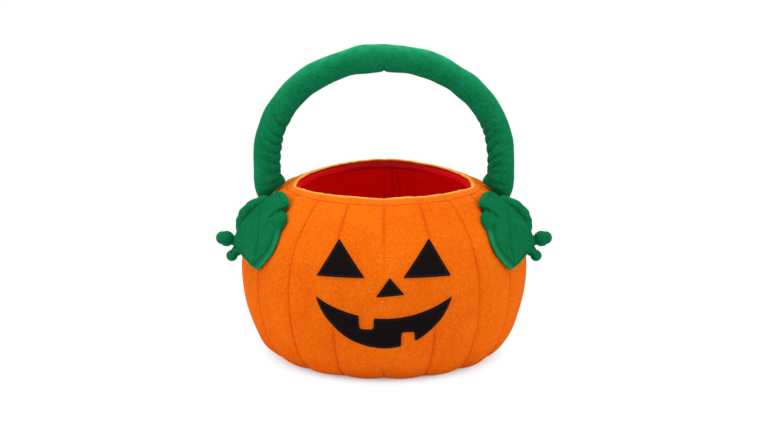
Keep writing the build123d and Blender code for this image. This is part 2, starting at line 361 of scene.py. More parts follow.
def on_body(curve, length, angle, proud):
    """Points at an arc length up the wall, an angle round it and a height proud of it.

    The last centimetres of the wall fall with the lip.
    """
    radius, height, out, up = (np.interp(length, curve[0], row) for row in curve[1:])
    reach = radius + out * proud
    near = np.clip((length - curve[0, -1]) / LIP_REACH + 1, 0, 1) ** 1.3
    height = height + up * proud - near * lip_dip(angle)
    return stacked(reach * np.cos(angle), reach * np.sin(angle), height)


def radius_at(curve, length):
    """Radius of the wall at an arc length."""
    return np.interp(length, curve[0], curve[1])


def length_at_height(curve, height):
    """Arc length of the wall at a height."""
    return np.interp(height, curve[2], curve[0])


def seam_fall(distance, depth):
    """Fall of the plush towards a seam: a sharp crease inside a wide soft dip."""
    return -depth * (0.5 * fade(distance, SEAM_CREASE) + 0.5 * bell(distance, SEAM_DIP))


def gore_crown(across, depth):
    """Puff of a gore across its width: highest at the crown and lower toward the seams."""
    return -0.3 * depth * np.abs(across) ** 2.4


def pucker(length, distance, seed):
    """Small gathers that the stitches pull beside a seam, fading out over a centimetre."""
    gather = soft_waves(length, 0 * length, 9 * MM, seed=seed) * np.ones_like(distance)
    return PUCKER * gather * fade(distance, PUCKER_REACH)


def gore_centre(side, number):
    """Angle of the middle of a gore, counted from the face panel on one side."""
    return FRONT + side * (FACE_HALF + (number - 0.5) * GORE_ANGLE)


def gore_relief(sizes, curve, side, number, length, angle):
    """Relief of a gore and the painted shade along its seams.

    A crown between sunk seams, with puckers beside them and soft waves on it. The gore under the
    handle has a slight dent, which fades along the wall and toward the front.
    """
    seed = 10 * number + side
    across = (angle - gore_centre(side, number)) / HALF_GORE
    ring = radius_at(curve, length)
    distance = ring * HALF_GORE * (1 - np.abs(across))
    soft = 0.5 * MM * soft_waves(ring * angle, length, 55 * MM, seed=seed + 3)
    relief = gore_crown(across, sizes.seam_depth) + seam_fall(distance, sizes.seam_depth)
    relief = relief + pucker(length, distance, seed) + soft * (1 - np.abs(across) ** 2)
    if number == HANDLE_GORE:
        foot = length_at_height(curve, handle_foot(sizes)[1] - sizes.handle_radius)
        toward = np.clip(1.1 + 1.2 * side * across, 0, 1)
        relief = relief - FOOT_DENT * toward * bell(length - foot, FOOT_DENT_REACH)
    return relief, SEAM_SHADE * fade(distance, SEAM_LINE)


def face_relief(sizes, curve, length, angle):
    """Relief of the face panel and the painted shade along its seams and darts.

    Sunk seams at its sides, and darts that fade out below the rim and above the base.
    """
    ring = radius_at(curve, length)
    turn = angle - FRONT
    edge = ring * (FACE_HALF - np.abs(turn))
    across = ramp(np.abs(turn) - FACE_HALF + HALF_GORE, HALF_GORE)
    relief = gore_crown(across, sizes.seam_depth) + seam_fall(edge, sizes.seam_depth)
    seam = SEAM_SHADE * fade(edge, SEAM_LINE)
    for dart, upper, fading, lower in FACE_DARTS:
        distance = ring * np.abs(turn - dart * GORE_ANGLE)
        strength = ramp(length - length_at_height(curve, upper), fading)
        strength = strength + ramp(length_at_height(curve, lower) - length, DART_FADE) ** 0.8
        fall = seam_fall(distance, 0.85 * sizes.seam_depth)
        relief = relief + strength * (fall + pucker(length, distance, 70 + dart))
        seam = np.maximum(seam, strength * fade(distance, DART_LINE))
    return relief + 0.45 * MM * soft_waves(ring * angle, length, 60 * MM, seed=5), seam


def add_panel(label, sizes, curve, centre, half, relief, rows, columns):
    """Closed plush panel: an outer face over the angle centre +- half, and a flat inner face.

    The outer face follows relief(length, angle), which gives its height and its painted seam
    shade. Its top goes under the hem and the inner face lies at the plush depth.
    """
    top = curve[0, -1] - sizes.hem_height + HEM_LAP
    length = np.linspace(0, top, rows)[:, None]
    # The columns crowd toward the seams
    crowd = pi / 2 * 0.94
    across = np.sin(np.linspace(-1, 1, columns) * crowd) / sin(crowd)
    angle = centre + half * across[None, :]
    inner_angle = centre + half * np.linspace(1, -1, INNER_COLUMNS)[None, :] * 0.995
    ease = ramp(length - (top - PRESSED), PRESSED) ** 2
    near = ramp(length - (top - CALMED), 12 * MM)
    height, seam = relief(length, angle)
    outer = on_body(curve, length, angle, height * (1 - 0.7 * near) - 0.9 * MM * ease)
    inner = on_body(curve, length, inner_angle, -sizes.plush)
    ring = radius_at(curve, length)
    sides = [stacked(ring * turn, length) for turn in (angle, inner_angle)]
    # Painted shadow under the hem's lower edge, across the pressed top
    seam = np.maximum(seam * (1 - 0.3 * ease), 0.6 * ease**5)
    marks = {"seam": np.concatenate([seam, np.zeros((rows, INNER_COLUMNS))], 1)}
    points, uv = np.concatenate([outer, inner], 1), np.concatenate(sides, 1)
    mesh = grid_mesh(label, points, uv, TUBE, (columns, columns), marks=marks)
    add_piece(f"plush_{label}", mesh, "orange_plush", "pail", label)


class PAIL_OT_gores(bpy.types.Operator):
    """Side and back gores, puffed between sunk seams and pressed in under the handle's feet"""

    bl_idname = "pail.gores"
    bl_label = "Gores"

    def execute(self, context):
        sizes, curve = wall(context)
        for number in range(1, SIDE_GORES + 1):
            for side, name in SIDES[::-1]:
                label = f"gore_{name}_{number}"
                relief = partial(gore_relief, sizes, curve, side, number)
                centre = gore_centre(side, number)
                add_panel(label, sizes, curve, centre, HALF_GORE, relief, 150, 44)
        return {"FINISHED"}


class PAIL_OT_face_panel(bpy.types.Operator):
    """One-piece face panel with its darts"""

    bl_idname = "pail.face_panel"
    bl_label = "Face panel"

    def execute(self, context):
        sizes, curve = wall(context)
        relief = partial(face_relief, sizes, curve)
        add_panel("face_panel", sizes, curve, FRONT, FACE_HALF, relief, 190, 400)
        return {"FINISHED"}


# Rim, lining and base

# Hem: its crest above the lip, the seat and half thickness of its fold, and its notch at a seam
HEM_CREST = 0.4 * MM
HEM_SEAT = -1.15 * MM
HEM_FOLD = 1.25 * MM
HEM_NOTCH = 0.35 * MM
HEM_NOTCH_WIDTH = 1.5 * MM
# Facing: its middle below the lip, its half height, and the seat and half thickness of its roll
FACING_DROP = 2.0 * MM
FACING_HALF = 2.7 * MM
FACING_SEAT = -5.7 * MM
FACING_ROLL = 3.0 * MM


def hem_ring(sizes, curve, angle, turn):
    """Folded hem: a flat loop round the lip, hem high along the wall and a fold thick across it.

    Its crest sways along the lip and rises past it, it is notched at the gores' seams, and its
    lower edge has the topstitch, with painted shade in its groove and in the notches. Its upper
    outside has a painted highlight.
    """
    total = curve[0, -1]
    half = sizes.hem_height / 2
    seam = np.abs((angle - FRONT + HALF_GORE) % GORE_ANGLE - HALF_GORE)
    notch = fade(sizes.rim_radius * seam, HEM_NOTCH_WIDTH)
    along = total - half + (half + HEM_CREST) * np.cos(turn)
    spread = flattened_sine(turn, 0.6)
    crest = np.clip(np.cos(turn), 0, 1) ** 2
    proud = HEM_SEAT + HEM_FOLD * spread
    proud = proud - HEM_NOTCH * notch * (spread > 0) * (1 - 0.5 * crest)
    proud = proud + 0.2 * MM * soft_waves(sizes.rim_radius * angle, along, 14 * MM, seed=31)
    along = along + lip_sway(angle) * ramp(np.cos(turn) + 1, 2) - 0.5 * MM * notch * crest
    points = on_body(curve, np.minimum(along, total), angle, proud)
    out, up = curve[3:, -1]
    rise = stacked(-up * np.cos(angle), -up * np.sin(angle), out)
    points = points + np.maximum(along - total, 0)[..., None] * rise
    # Painted shade in the topstitch groove and in the notches, and a painted highlight on the
    # upper outside of the fold
    stitch_shade = np.clip(-0.75 - np.cos(turn), 0, 0.2) * 4
    fringe = np.clip((np.cos(turn - 0.35) - 0.6) / 0.35, 0.05, 1)
    marks = {
        "fringe": fringe * np.ones_like(angle),
        "seam": np.maximum(stitch_shade, 0.4 * notch * (1 - crest)),
    }
    return points, stacked(sizes.rim_radius * angle, along), marks


def facing_ring(sizes, curve, angle, turn):
    """Facing: a soft roll below the lip on the inside, with painted shade beneath it and at the
    back.
    """
    around = sizes.rim_radius * angle
    roll = FACING_HALF * np.cos(turn) + 0.25 * MM * soft_waves(around, turn * MM, 22 * MM, seed=41)
    along = curve[0, -1] - FACING_DROP + lip_sway(angle) + roll
    swell = flattened_sine(turn, 0.75)
    proud = FACING_SEAT + FACING_ROLL * swell * (1 - 0.15 * np.cos(turn))
    behind = np.clip(-np.cos(angle - FRONT), 0, 1) ** 2
    # Painted shade: a little over the whole roll, more beneath it, and at the back in a dark
    # crimson
    marks = {
        "seam": np.clip(0.2 - 0.8 * np.cos(turn), 0.2, 1) * np.ones_like(angle),
        "fringe": behind * np.ones_like(turn),
    }
    return on_body(curve, along, angle, proud), stacked(around, along), marks


class PAIL_OT_rim(bpy.types.Operator):
    """Plush hem folded over the lip, and the red facing rolled under it"""

    bl_idname = "pail.rim"
    bl_label = "Rim"

    def execute(self, context):
        sizes, curve = wall(context)
        angle = full_turn(540)[:, None]
        turn = full_turn(40)[None, :]
        rings = (
            ("rim_hem", "plush", "orange_plush", hem_ring),
            ("lining_facing", "cloth", "red_lining", facing_ring),
        )
        for label, kind, slot, ring in rings:
            points, uv, marks = ring(sizes, curve, angle, turn)
            mesh = grid_mesh(label, points, uv, (True, True), flip=True, marks=marks)
            add_piece(f"{kind}_{label}", mesh, slot, "pail", label)
        return {"FINISHED"}


# Lining panels and the quarter turn that each starts at
LINING_PANELS = (
    ("lining_front_left", 2),
    ("lining_front_right", 3),
    ("lining_back_right", 0),
    ("lining_back_left", 1),
)
LINING_THICKNESS = 0.9 * MM
LINING_HOLLOWS = 1.3 * MM
LINING_FOLDS = 0.9 * MM
LINING_SEAM = 1.0 * MM
# Heights of the base's lining, and how far the base disc is rounded at its edge
LINING_BASE_TOP = 7.2 * MM
LINING_BASE_UNDER = 6.3 * MM
BASE_ROUND = 1.4 * MM
LINING_COLUMNS = 150
# Angles of the double seam line beside the centre back
BACK_SEAMS = (pi / 2 - 0.085, pi / 2 - 0.135)
FOAM_SHEETS = 9
FOAM_GRID = (40, 12)
FOAM_OUTER = -3.5 * MM
FOAM_INNER = -5.9 * MM


def lining_relief(ring, angle, length):
    """Relief of the lining: soft hollows, folds and the double seam line, with painted shade on
    it.
    """
    soft = LINING_HOLLOWS * soft_waves(ring * angle, length, 60 * MM, seed=21)
    folds = LINING_FOLDS * soft_waves(ring * angle, 0.2 * length, 26 * MM, seed=22)
    relief = np.clip(soft + folds, -2.4 * MM, 0.9 * MM)
    mark = np.zeros(relief.shape)
    for spot in BACK_SEAMS:
        mark = np.maximum(mark, fade(ring * np.abs(angle - spot), LINING_SEAM))
    return relief + 0.5 * MM * mark, mark


class PAIL_OT_lining(bpy.types.Operator):
    """Red lining panels and the lining of the base"""

    bl_idname = "pail.lining"
    bl_label = "Lining"

    def execute(self, context):
        sizes, curve = wall(context)
        top = curve[0, -1] - FACING_LAP
        length = np.linspace(0, top, 110)[:, None]
        ring = radius_at(curve, length) - sizes.lining_inset
        ease = ramp(top - length, 10 * MM) * ramp(length, 12 * MM)
        # Painted shade at the top of the lining, under the facing's roll
        under = fade(top - length, 2.5 * MM)
        for label, quarter in LINING_PANELS:
            start = quarter * pi / 2
            angle = start + np.linspace(0, pi / 2, LINING_COLUMNS)[None, :]
            seam = np.minimum(angle - start, start + pi / 2 - angle) * ring
            relief, mark = lining_relief(ring, angle, length)
            side_mark = 0.5 * fade(seam, LINING_SEAM)
            inner = -sizes.lining_inset - 0.7 * MM * ease + ease * relief + 0.5 * MM * side_mark
            # Painted shade along the seams between panels and under the facing
            mark = np.maximum(np.maximum(mark, 0.6 * side_mark), under)
            faces = (on_body(curve, length, angle, inner + gap) for gap in (0, LINING_THICKNESS))
            flat = stacked(ring * angle, length)
            uv = there_and_back(flat, flat)
            marks = {"seam": there_and_back(mark, 0 * mark)}
            ends = (LINING_COLUMNS, LINING_COLUMNS)
            mesh = grid_mesh(label, there_and_back(*faces), uv, TUBE, ends, True, marks)
            add_piece(f"cloth_{label}", mesh, "red_lining", "pail", label)

        share, x, y = disc_rings(sizes.base_radius - 0.4 * MM, 40)
        high = LINING_BASE_TOP + 0.5 * MM * soft_waves(x, y, 45 * MM, seed=61) * (1 - share**4)
        mesh = disc_mesh("lining_base", x, y, high, LINING_BASE_UNDER)
        add_piece("cloth_lining_base", mesh, "red_lining", "pail", "lining_base")
        return {"FINISHED"}


class PAIL_OT_base(bpy.types.Operator):
    """Plush disc under the pail, the board on it and the foam in the wall"""

    bl_idname = "pail.base"
    bl_label = "Base"

    def execute(self, context):
        sizes, curve = wall(context)
        share, x, y = disc_rings(sizes.base_radius - 0.3 * MM, 30)
        round_off = BASE_ROUND * ramp(share - 0.95, 0.05) ** 2
        mesh = disc_mesh("base_panel", x, y, sizes.plush, round_off)
        add_piece("plush_base_panel", mesh, "orange_plush", "pail", "base_panel")

        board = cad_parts["base_board"]
        board.data.materials.clear()
        board.data.materials.append(cloth("board"))

        # Foam sheets: a closed strip for each, as deep as the space between plush and lining
        rows, columns = FOAM_GRID
        share = np.linspace(0.06, 1, rows)[:, None]
        half = pi / FOAM_SHEETS - 0.5 * MM / sizes.base_radius
        for index in range(FOAM_SHEETS):
            middle = FRONT + index * 2 * pi / FOAM_SHEETS
            angle = middle + half * np.linspace(-1, 1, columns)[None, :]
            length = share * (curve[0, -1] - FACING_LAP + lip_sway(angle))
            faces = (on_body(curve, length, angle, proud) for proud in (FOAM_OUTER, FOAM_INNER))
            points = there_and_back(*faces)
            name = f"wall_foam_{index + 1}"
            mesh = grid_mesh(name, points, None, TUBE, (columns, columns))
            add_piece(f"foam_sheet_{index + 1}", mesh, "foam", "pail", "wall_foam")
        return {"FINISHED"}


# Felt face

# Corners in the front view, in mm: x to the right and height
EYE = ((15.6, 96.2), (54.8, 95.2), (36.5, 124.8))
NOSE = ((-6.6, 80.8), (16.6, 82.7), (4.6, 96.6))
MOUTH_HALF = 55.3 * MM
MOUTH_CORNER = 78 * MM
MOUTH_UPPER = 62.6 * MM
MOUTH_LOWER = 36.5 * MM
# Teeth: middle, width and depth
UPPER_TOOTH = (-14.5 * MM, 12.6 * MM, -10.6 * MM)
LOWER_TOOTH = (19.6 * MM, 11.8 * MM, 10.8 * MM)
# The felt's back lies in the pile. Its edge is rounded, stitched and grooved at these insets
FELT_BACK = -0.5 * MM
FELT_ROUND = 0.9 * MM
FELT_CORNER = 2.2 * MM
STITCH_INSET = 1.5 * MM
GROOVE_INSET = 2.0 * MM


def felt_points(sizes, curve, x, z, height):
    """Points over the face panel at front-view x and z, a height above its relief."""
    length = length_at_height(curve, z)
    angle = FRONT + np.arcsin(np.clip(x / radius_at(curve, length), -1, 1))
    proud, _ = face_relief(sizes, curve, length, angle)
    return on_body(curve, length, angle, proud + height)


def felt_edge(distance, thickness):
    """Height of felt near its cut edge and its stitches.

    The edge is a rounded shoulder with a groove inside it.
    """
    shoulder = np.sqrt(np.clip(1 - (1 - ramp(distance, FELT_ROUND)) ** 2, 0, 1))
    groove = bell(distance - GROOVE_INSET, 0.45 * MM)
    stitches = bell(distance - STITCH_INSET, 0.3 * MM)
    return thickness * (0.25 + 0.75 * shoulder) - 0.5 * MM * groove, stitches


def rounded_polygon(corners, radius, count):
    """Outline of a polygon whose corners are drawn in: points along its sides, smoothed."""
    after = np.roll(corners, -1, 0)
    share = np.linspace(0, 1, count, endpoint=False)[None, :, None]
    line = (corners[:, None] * (1 - share) + after[:, None] * share).reshape(-1, 2)
    step = np.linalg.norm(np.diff(line, axis=0), axis=1).mean()
    reach = max(int(radius / step), 1)
    kernel = np.hanning(2 * reach + 3)
    kernel = kernel / kernel.sum()
    wrapped = np.concatenate([line[-reach - 1 :], line, line[: reach + 1]])
    return np.stack([np.convolve(wrapped[:, axis], kernel, "valid") for axis in (0, 1)], -1)


def felt_disc(sizes, curve, corners):
    """Felt patch over a rounded polygon: rings from its middle to its outline, then the edge."""
    outline = rounded_polygon(corners, FELT_CORNER, 60)
    middle = outline.mean(0)
    share = 1 - (1 - np.linspace(0.02, 1, 34)) ** 1.8
    flat = middle + share[:, None, None] * (outline - middle)[None]
    sides = np.roll(corners, -1, 0) - corners
    normal = np.stack([-sides[:, 1], sides[:, 0]], -1) / np.linalg.norm(sides, axis=1)[:, None]
    distance = np.abs(((flat[:, :, None] - corners) * normal).sum(-1)).min(-1)
    height, stitches = felt_edge(distance, sizes.felt)
    top = felt_points(sizes, curve, flat[..., 0], flat[..., 1], height)
    skirt = felt_points(sizes, curve, outline[:, 0], outline[:, 1], FELT_BACK)
    marks = {"fringe": np.concatenate([stitches, 0 * stitches[:1]])}
    return np.concatenate([top, skirt[None]]), np.concatenate([flat, outline[None]]), marks


def mouth_edge(x, middle):
    """Arc through both corners of the mouth and a middle point."""
    drop = MOUTH_CORNER - middle
    radius = (MOUTH_HALF**2 + drop**2) / (2 * drop)
    return middle + radius - np.sqrt(np.maximum(radius**2 - x**2, 0))


def tooth(x, edge, centre, width, depth):
    """Edge of the mouth with a square tooth on it: a level top with rounded corners."""
    across = ramp(np.abs(x - centre), width / 2)
    level = np.interp(centre, x, edge) + depth
    return edge + (level - edge) * (1 - across**9) ** (1 / 2.6)


def mouth_distance(flat, x, top, bottom):
    """Distance of each point to the mouth's upper and lower outline, sampled finely."""
    outline = np.concatenate([np.stack([x, top], -1), np.stack([x, bottom], -1)])
    gap = np.empty(flat.shape[:2])
    for row, points in enumerate(flat):
        gap[row] = np.linalg.norm(points[:, None] - outline[None], axis=-1).min(1)
    return gap


def mouth_patch(sizes, curve):
    """Felt mouth: columns across it, rows from the lower edge to the upper one and back."""
    x = MOUTH_HALF * np.sin(np.linspace(-pi / 2, pi / 2, 560))
    top = tooth(x, mouth_edge(x, MOUTH_UPPER), *UPPER_TOOTH)
    bottom = tooth(x, mouth_edge(x, MOUTH_LOWER), *LOWER_TOOTH)
    share = 0.5 - 0.5 * np.cos(np.linspace(0, pi, 40))[:, None]
    flat = stacked(x, bottom + (top - bottom) * share)
    height, stitches = felt_edge(mouth_distance(flat, x, top, bottom), sizes.felt)
    face = felt_points(sizes, curve, flat[..., 0], flat[..., 1], height)
    back = felt_points(sizes, curve, flat[..., 0], flat[..., 1], FELT_BACK)
    marks = {"fringe": np.concatenate([stitches, 0 * stitches])}
    return np.concatenate([face, back[::-1]]), np.concatenate([flat, flat[::-1]]), marks


class PAIL_OT_felt_face(bpy.types.Operator):
    """Felt eyes, nose and mouth sewn on the face panel"""

    bl_idname = "pail.felt_face"
    bl_label = "Felt face"

    def execute(self, context):
        sizes, curve = wall(context)
        eye, nose = np.array(EYE) * MM, np.array(NOSE) * MM
        flipped = eye[::-1] * (-1, 1)
        for label, corners in (("eye_right", eye), ("eye_left", flipped), ("nose", nose)):
            points, uv, marks = felt_disc(sizes, curve, corners)
            mesh = grid_mesh(label, points, uv, TUBE, ROUND_ENDS, marks=marks)
            add_piece(f"felt_{label}", mesh, "black_felt", "pail", label)
        points, uv, marks = mouth_patch(sizes, curve)
        mesh = grid_mesh("mouth", points, uv, (True, False), flip=True, marks=marks)
        add_piece("felt_mouth", mesh, "black_felt", "pail", "mouth")
        return {"FINISHED"}


# Handle

# Gathered foot, in mm: height over the swing line, reach toward the rim, reach away, half width
FOOT_STATIONS = (
    (9.0, 11.7, 11.7, 11.7),
    (4.0, 12.9, 11.8, 11.9),
    (0.0, 14.6, 11.8, 12.2),
    (-3.0, 15.2, 11.6, 12.3),
    (-6.0, 12.0, 11.0, 11.8),
    (-9.0, 8.4, 10.4, 10.6),
    (-12.0, 4.8, 9.6, 8.8),
    (-14.6, 1.6, 8.5, 5.6),
    (-16.6, -2.5, 6.0, 1.2),
)
FOOT_CLEARANCE = 0.4 * MM
FOOT_SEAT = 0.3 * MM
ARCH_BEND = radians(55)
GATHER_SPACING = 8.5 * MM
GATHER_START = 4 * MM
GATHER_END = 72 * MM
GATHER_DEPTH = 1.7 * MM
# Seam at the crown: the pinch under it, the dip round that, the puff beside it, and how deep the
# pinch still is where the halves meet
CROWN_PINCH = 1.5 * MM
CROWN_DIP = 1.0 * MM
CROWN_PUFF = 0.4 * MM
CROWN_MEET = 0.9 * MM
FILL_FOOT = 0.82
COVER_THICKNESS = 2.6 * MM
# The tube's rings begin at this length, above those of the foot
TUBE_START = 10 * MM


def handle_foot(sizes):
    """Radius and height of the middle of the handle's foot, seated on the shoulder."""
    arc, centre, rim = shoulder_arc(sizes)
    reach = arc + sizes.handle_radius + FOOT_SEAT
    place = HANDLE_PLACE * rim
    return centre + reach * cos(place), sizes.belly_height + reach * sin(place)


def handle_path(sizes, side, count):
    """Middle line of one half of the handle from its foot to the crown, with outward normals.

    A straight rises from the foot, then a tight arc makes the arch's bend and a wide one reaches
    the crown.
    """
    foot = handle_foot(sizes)
    bend = ARCH_BEND
    arch = sizes.handle_rise - sizes.handle_straight
    shape = (1 - cos(bend)) * (1 - sin(bend)) - cos(bend) * sin(bend)
    tight = (foot[0] * (1 - sin(bend)) - arch * cos(bend)) / shape
    wide = (foot[0] - tight * (1 - cos(bend))) / cos(bend)
    spans = np.array([sizes.handle_straight, tight * bend, wide * (pi / 2 - bend)])
    length = np.linspace(0, spans.sum(), count)
    first = np.clip(length, 0, spans[0])
    second = np.clip((length - spans[0]) / tight, 0, bend)
    third = np.clip((length - spans[0] - spans[1]) / wide, 0, pi / 2 - bend)
    turn = second + third
    x = foot[0] - tight * (1 - np.cos(second)) - wide * (cos(bend) - np.cos(bend + third))
    z = foot[1] + first + tight * np.sin(second) + wide * (np.sin(bend + third) - sin(bend))
    line = np.stack([side * x, 0 * x, z], -1)
    outward = np.stack([side * np.cos(turn), 0 * turn, np.sin(turn)], -1)
    return length, line, outward


def inner_side(around):
    """1 on the side of the handle that is toward the mouth and a little forward, 0 outside."""
    return np.clip(-np.cos(around - 0.5), 0, 1)


def gathers(length, around, seed):
    """Cross folds on the inner side of the handle's lower part, deep and uneven."""
    window = ramp(length - GATHER_START, 8 * MM) * ramp(GATHER_END - length, 30 * MM)
    lean = 5 * MM * np.sin(around) + 2.5 * MM * np.sin(2 * around + seed)
    slow, quick = length / (13 * MM) + seed, length / (5.3 * MM) + 2 * seed
    stretch = 1.2 * np.sin(slow) + 0.7 * np.sin(quick)
    wave = np.abs(np.sin(pi * (length + lean) / GATHER_SPACING + 0.5 * stretch))
    return window * inner_side(around) ** 0.8 * (wave**0.5 - 0.8)


def foot_rows(sizes, around):
    """Rings of the gathered foot from its tip up to the tube, as offsets out, across and up.

    Each ring is an ellipse between the reaches, and folds run round it where the cloth is drawn
    in. No point is farther from the swing line than the shoulder is, so the foot can turn. The
    painted shade of the fold's crease comes with the points.
    """
    table = np.array(FOOT_STATIONS)[::-1].T * MM
    stations = np.arange(table.shape[1])
    row = np.linspace(0, stations[-1], 40)
    height, inner, outer, half = (np.interp(row, stations, line)[:, None] for line in table)
    middle, reach = (outer - inner) / 2, (outer + inner) / 2
    slant = height - 1.5 * MM + 3.5 * MM * np.cos(around) - 3 * MM * np.sin(around)
    drawn = 0.15 + 0.85 * inner_side(around)
    crease = 0.8 * bell(slant + 5 * MM, 3.5 * MM) - bell(slant, 1.8 * MM)
    crease = crease - 0.5 * bell(slant + 10 * MM, 1.5 * MM)
    crease = 1 + 0.1 * drawn * crease
    out = middle + reach * crease * np.cos(around)
    across = half * crease * np.sin(around)
    up = height * np.ones_like(around)
    arc, centre, _ = shoulder_arc(sizes)
    foot_out, foot_up = handle_foot(sizes)
    room = np.sqrt(np.maximum(arc**2 - (foot_out + out - centre) ** 2, 0))
    room = foot_up - sizes.belly_height - room - FOOT_CLEARANCE + 0.1 * np.maximum(up, 0)
    keep = np.clip(room / np.maximum(np.hypot(across, up), 1e-6), 0.2, 1)
    # Painted shade in the crease of the fold
    fold = 0.75 * drawn * bell(slant, 1.6 * MM)
    return np.stack([out, across * keep, np.where(up < 0, up * keep, up)], -1), fold


def handle_points(sizes, side, shrink):
    """Half of the stuffed handle: rings along its middle line, with the gathered foot below.

    The cover has gathers, soft facets and a pinched seam at the crown. The fill is a plain tube,
    smaller by the shrink.
    """
    length, line, outward = handle_path(sizes, side, 230)
    around = full_turn(72)[None, :]
    radius = sizes.handle_radius - shrink
    s = length[:, None]
    crown = length[-1] - s
    body = radius * np.ones((len(length), around.size))
    ring = np.cos(around)[..., None] * outward[:, None]
    ring = ring + np.sin(around)[..., None] * np.array([0.0, 1.0, 0.0])
    under = np.clip(-np.cos(around), 0, 1)
    gathered = gathers(s, around, 0.7 + side)
    foot, fold = foot_rows(sizes, around)
    if shrink:
        foot = foot * FILL_FOOT
    else:
        rise = ramp(s - 10 * MM, 18 * MM)
        facet = soft_waves(s, 0 * around, 46 * MM, seed=84 + side)
        facet = facet * np.clip(np.cos(around), 0, 1)
        bumps = soft_waves(s, radius * np.sin(around), 30 * MM, seed=81 + side)
        body = body + GATHER_DEPTH * gathered
        body = body + 0.55 * MM * rise * facet
        body = body + 0.5 * MM * rise * bumps
        body = body - CROWN_PINCH * under**2 * fade(crown, 1.3 * MM)
        body = body - CROWN_DIP * under * bell(crown, 6 * MM)
        body = body + CROWN_PUFF * bell(crown - 16 * MM, 8 * MM) * under
    meet = bell(crown, 12 * MM)
    body = body + meet * (radius - CROWN_MEET * under**2 * (not shrink) - body[-1:])
    tube = line[:, None] + body[..., None] * ring
    keep = length > TUBE_START
    points = np.concatenate([line[0] + foot * (side, 1, 1), tube[keep]])
    uv = stacked(radius * around, np.concatenate([foot[:, :1, 2], s[keep]]))
    # Painted shade in the gathers' creases and under the crown's pinch
    folds = np.clip(-1.1 * gathered, 0, 0.8) + 0.5 * under**2 * bell(crown, 5 * MM)
    # Painted highlight on the upper outside of the arch, where light from above falls
    nap = np.clip(np.cos(around) * outward[:, 2:], 0, 1) ** 2.5
    nap = nap * (0.6 + 0.22 * soft_waves(s, radius * around, 11 * MM, seed=86))
    marks = {
        "seam": np.concatenate([fold, folds[keep]]),
        "fringe": np.concatenate([0 * fold, np.clip(nap, 0, 1)[keep]]),
    }
    return points, uv, marks


class PAIL_OT_handle(bpy.types.Operator):
    """Stuffed handle: two plush sleeves that meet at the crown, and the fill inside"""

    bl_idname = "pail.handle"
    bl_label = "Handle"

    def execute(self, context):
        sizes = context.scene.pail_sizes
        for side, name in SIDES:
            points, uv, marks = handle_points(sizes, side, 0)
            label = f"handle_cover_{name}"
            mesh = grid_mesh(label, points, uv, TUBE, ROUND_ENDS, side < 0, marks)
            add_piece(f"plush_{label}", mesh, "green_plush", "handle", label)
            points, uv, _ = handle_points(sizes, side, COVER_THICKNESS)
            mesh = grid_mesh(f"handle_fill_{name}", points, uv, TUBE, ROUND_ENDS, side < 0)
            add_piece(f"fill_handle_{name}", mesh, "stuffing", "handle", "handle_stuffing")
        return {"FINISHED"}


# Leaves and vines

# Flat pattern of the left leaf in mm: across toward the face, and up
LEAF_OUTLINE = (
    ((-27.4, 41.4), (-24.4, 43.8), (-19.0, 43.6), (-9.0, 40.4), (-1.2, 37.2), (1.2, 33.4))
    + ((-0.6, 29.8), (1.2, 27.8), (6.2, 26.2), (10.2, 22.4), (11.2, 17.5), (10.2, 13.2))
    + ((12.0, 6.0), (12.5, -1.0), (10.9, -7.5), (6.8, -13.8), (1.2, -20.2), (-4.6, -25.4))
    + ((-12.5, -24.6), (-24.0, -20.9), (-35.0, -16.8), (-40.0, -12.4), (-42.2, -6.0))
    + ((-41.8, 1.0), (-40.4, 7.0), (-38.2, 14.0), (-35.2, 22.0), (-31.8, 30.3), (-28.6, 38.0))
)
LEAF_MIDDLE = (-15.0, 8.0)
LEAF_MIDRIB = ((-30.0, 30.0), (-24.0, 21.0), (-14.5, 8.0), (-7.0, -7.0), (-4.4, -23.0))
LEAF_TUCK = ((0.5, 29.6), (-4.0, 26.5), (-7.0, 20.5))
LEAF_KNOB = ((6.4, 21.4), (7.4, 17.6))
LEAF_TAB = ((-10.0, 39.0), (-2.5, 35.6))
LEAF_DIMPLE = ((3.0, 15.6), (4.0, 14.6))
LEAF_AZIMUTH = radians(55)
LEAF_GAP = 0.4 * MM
LEAF_CORNER = 2.6 * MM
# Heights of the plies: the front from its underside, the back's two faces, and the batting
FRONT_UNDER = 1.5 * MM
FRONT_EDGE = 0.9 * MM
BACK_UNDER = 0.3 * MM
BACK_TOP = 1.4 * MM
BATTING_UNDER = 1.7 * MM
BATTING_SHARE = 0.86


def line_distance(flat, points):
    """Distance of flat points to a chain of straight lines."""
    points = np.array(points) * MM
    gap = np.full(flat.shape[:-1], 1.0)
    for start, end in zip(points[:-1], points[1:]):
        along = end - start
        share = np.clip(((flat - start) @ along) / (along @ along), 0, 1)
        gap = np.minimum(gap, np.linalg.norm(flat - start - share[..., None] * along, axis=-1))
    return gap


def over_shoulder(sizes, azimuth, place, reach):
    """Point a reach above the shoulder on the left, the azimuth counted from the face."""
    arc, centre, rim = shoulder_arc(sizes)
    out = centre + (arc + reach) * cos(place * rim)
    up = sizes.belly_height + (arc + reach) * sin(place * rim)
    return np.array([-out * sin(azimuth), -out * cos(azimuth), up])


